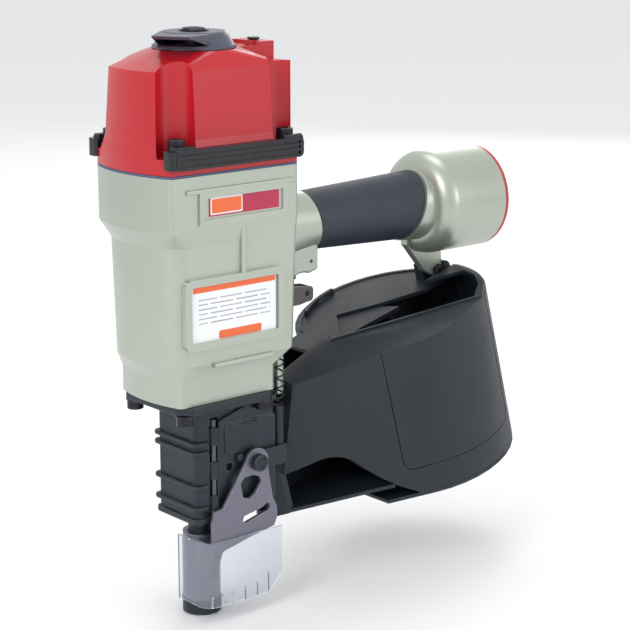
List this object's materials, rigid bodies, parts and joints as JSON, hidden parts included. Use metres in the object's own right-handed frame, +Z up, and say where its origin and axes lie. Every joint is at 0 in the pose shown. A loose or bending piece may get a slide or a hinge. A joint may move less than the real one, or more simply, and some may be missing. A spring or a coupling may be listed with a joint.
{
  "type": "pneumatic coil nail gun",
  "caption": "Pneumatic coil nailer: upright cylinder body with a screwed cap, rear hand grip, sprung contact foot, trigger and a hinged round nail magazine.",
  "frame": {"origin": "middle of the hand grip, on its axis", "axes": "+Z up along the driver axis away from the work, +X from the grip toward the air inlet, -Y the loading side"},
  "size_m": [0.3155, 0.1319, 0.372],
  "materials": {
    "cast_alloy": "pale grey-green metallic enamel on a magnesium casting",
    "red_enamel": "glossy red enamel",
    "black_casting": "satin black-grey coated casting",
    "dark_steel": "blackened steel",
    "steel": "satin steel",
    "rubber": "moulded black rubber",
    "grip_rubber": "finely grained dark grey-blue rubber",
    "magazine_plastic": "fine-grained black moulding",
    "grey_plastic": "dark grey glass-filled moulding",
    "clear_guard": "clear polycarbonate",
    "gasket": "blue-grey sheet gasket",
    "brass": "machined brass",
    "name_plate": "printed crimson plate",
    "label": "printed white label with orange bands"
  },
  "bodies": {
    "tool": {"air_plug": "brass", "body_casting": "cast_alloy", "cap_gasket": "gasket", "cap_plug": "rubber", "cap_screw_1": "dark_steel", "cap_screw_2": "dark_steel", "cap_screw_3": "dark_steel", "cap_screw_4": "dark_steel", "contact_spring": "steel", "cover_pin": "steel", "cylinder_cap": "red_enamel", "cylinder_sleeve": "steel", "deflector_screw": "dark_steel", "end_cap": "red_enamel", "feed_cylinder": "black_casting", "grip": "grip_rubber", "hanger_bolt": "dark_steel", "head_valve_spring": "steel", "magazine_back": "magazine_plastic", "magazine_hanger": "cast_alloy", "magazine_pin": "steel", "name_plate": "name_plate", "nose_body": "black_casting", "nose_cover": "black_casting", "nose_plate": "black_casting", "piston_bumper": "rubber", "plate_bolt_1": "dark_steel", "plate_bolt_2": "dark_steel", "plate_bolt_3": "dark_steel", "plate_bolt_4": "dark_steel", "side_bumper_left": "rubber", "side_bumper_right": "rubber", "spec_label": "label", "trigger_pin": "dark_steel", "valve_housing": "brass"},
    "deflector": {"exhaust_deflector": "grey_plastic"},
    "head_valve_ring": {"head_valve": "grey_plastic"},
    "driver": {"piston": "steel", "piston_ring": "rubber", "driver_blade": "steel"},
    "contact_safety": {"contact_foot": "steel", "contact_arm": "dark_steel", "arm_bolt": "dark_steel", "nose_guard": "clear_guard"},
    "trigger_body": {"trigger": "grey_plastic", "lever_pin": "dark_steel"},
    "lever": {"contact_lever": "steel"},
    "stem": {"valve_stem": "steel"},
    "feeder": {"feed_piston": "steel", "pawl_pin": "steel"},
    "pawl": {"feed_pawl": "steel"},
    "cover": {"magazine_cover": "magazine_plastic"},
    "tray": {"magazine_tray": "grey_plastic"}
  },
  "joints": [
    {"name": "deflector_turn", "type": "hinge", "parent": "tool", "child": "deflector", "pos_m": [-0.1296, 0, 0.1163], "axis": [0, 0, 1], "continuous": true},
    {"name": "head_valve_lift", "type": "slide", "parent": "tool", "child": "head_valve_ring", "axis": [0, 0, 1], "range_m": [0, 0.006], "stiffness_N_per_m": 1500, "springref_m": -0.004, "deforming": ["head_valve_spring"]},
    {"name": "driver_stroke", "type": "slide", "parent": "tool", "child": "driver", "axis": [0, 0, -1], "range_m": [0, 0.092]},
    {"name": "contact_press", "type": "slide", "parent": "tool", "child": "contact_safety", "axis": [0, 0, 1], "range_m": [0, 0.011], "stiffness_N_per_m": 900, "springref_m": -0.01, "deforming": ["contact_spring"]},
    {"name": "trigger_pull", "type": "hinge", "parent": "tool", "child": "trigger_body", "pos_m": [-0.0706, 0, -0.025], "axis": [0, -1, 0], "range_deg": [0, 8], "stiffness_Nm_per_rad": 1.2, "springref_deg": -14.32},
    {"name": "lever_lift", "type": "hinge", "parent": "trigger_body", "child": "lever", "pos_m": [-0.0456, 0, -0.047], "axis": [0, 1, 0], "range_deg": [0, 10], "stiffness_Nm_per_rad": 0.05, "springref_deg": -11.46},
    {"name": "stem_push", "type": "slide", "parent": "tool", "child": "stem", "axis": [0, 0, 1], "range_m": [0, 0.003], "stiffness_N_per_m": 400, "springref_m": -0.003},
    {"name": "feed_stroke", "type": "slide", "parent": "tool", "child": "feeder", "axis": [-1, 0, 0], "range_m": [0, 0.009], "stiffness_N_per_m": 300, "springref_m": -0.004},
    {"name": "pawl_swing", "type": "hinge", "parent": "feeder", "child": "pawl", "pos_m": [-0.0821, 0.0065, -0.148], "axis": [0, 0, -1], "range_deg": [0, 8], "stiffness_Nm_per_rad": 0.05, "springref_deg": -11.46},
    {"name": "cover_swing", "type": "hinge", "parent": "tool", "child": "cover", "pos_m": [0.11356, -0.003, -0.10796], "axis": [-0.2588, 0, 0.9659], "range_deg": [0, 110]},
    {"name": "tray_slide", "type": "slide", "parent": "tool", "child": "tray", "axis": [-0.2588, 0, 0.9659], "range_m": [-0.016, 0.02]}
  ]
}
